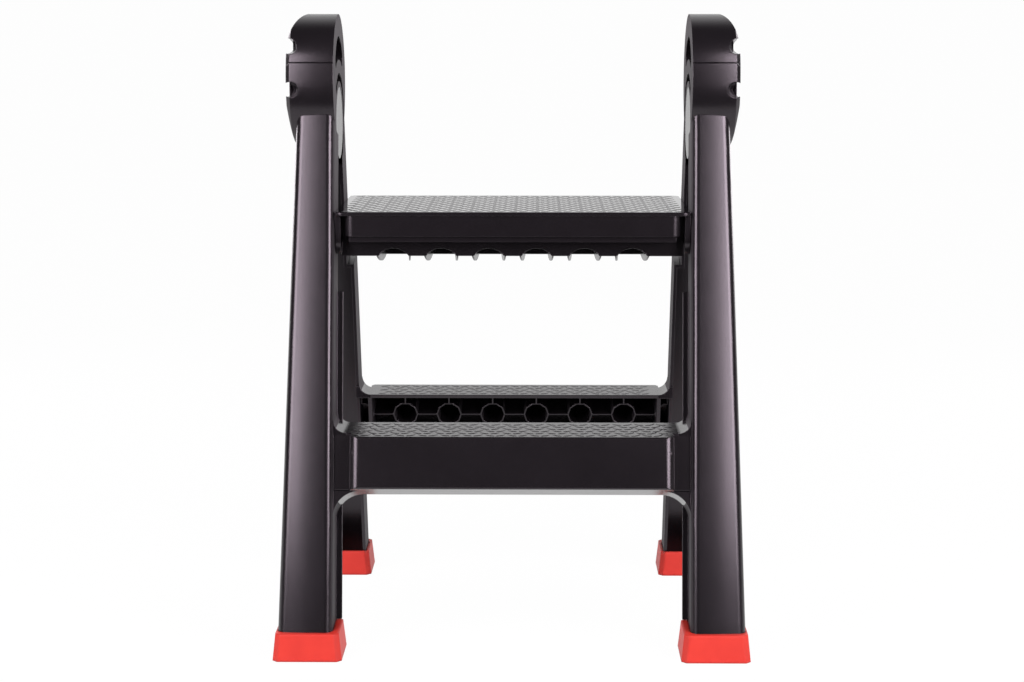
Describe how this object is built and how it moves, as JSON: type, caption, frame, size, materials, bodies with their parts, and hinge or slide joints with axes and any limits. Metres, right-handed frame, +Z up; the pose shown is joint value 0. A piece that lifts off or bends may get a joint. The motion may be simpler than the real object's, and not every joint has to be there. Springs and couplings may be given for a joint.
{
  "type": "folding step stool",
  "caption": "Folding moulded-plastic step stool: leaning frames with ribbed steps, hinged heads with hand holds, a tilting ribbed platform and slip-on feet.",
  "frame": {"origin": "on the floor, in the middle of the four feet", "axes": "+X to the right as seen from the front step, +Y to the rear, +Z up"},
  "size_m": [0.486, 0.403, 0.65],
  "materials": {
    "frame_plastic": "satin grain",
    "pin_plastic": "smooth",
    "foot_rubber": "soft matte"
  },
  "bodies": {
    "front_frame": {"front_frame": "frame_plastic", "front_foot_left": "foot_rubber", "hinge_pin_left": "pin_plastic", "hinge_cap_left": "frame_plastic", "platform_pin_left": "pin_plastic", "front_foot_right": "foot_rubber", "hinge_pin_right": "pin_plastic", "hinge_cap_right": "frame_plastic", "platform_pin_right": "pin_plastic"},
    "rear_frame": {"rear_frame": "frame_plastic", "rear_foot_left": "foot_rubber", "support_peg_left": "pin_plastic", "rear_foot_right": "foot_rubber", "support_peg_right": "pin_plastic"},
    "platform": {"platform": "frame_plastic"}
  },
  "joints": [
    {"name": "rear_fold", "type": "hinge", "parent": "front_frame", "child": "rear_frame", "pos_m": [0, 0, 0.535], "axis": [-1, 0, 0], "range_deg": [0, 28]},
    {"name": "platform_tilt", "type": "hinge", "parent": "front_frame", "child": "platform", "pos_m": [0, -0.068, 0.42], "axis": [1, 0, 0], "range_deg": [0, 75.5]}
  ],
  "couplings": [
    {"joint": "platform_tilt", "follows": "rear_fold", "ratio": 2.69}
  ]
}
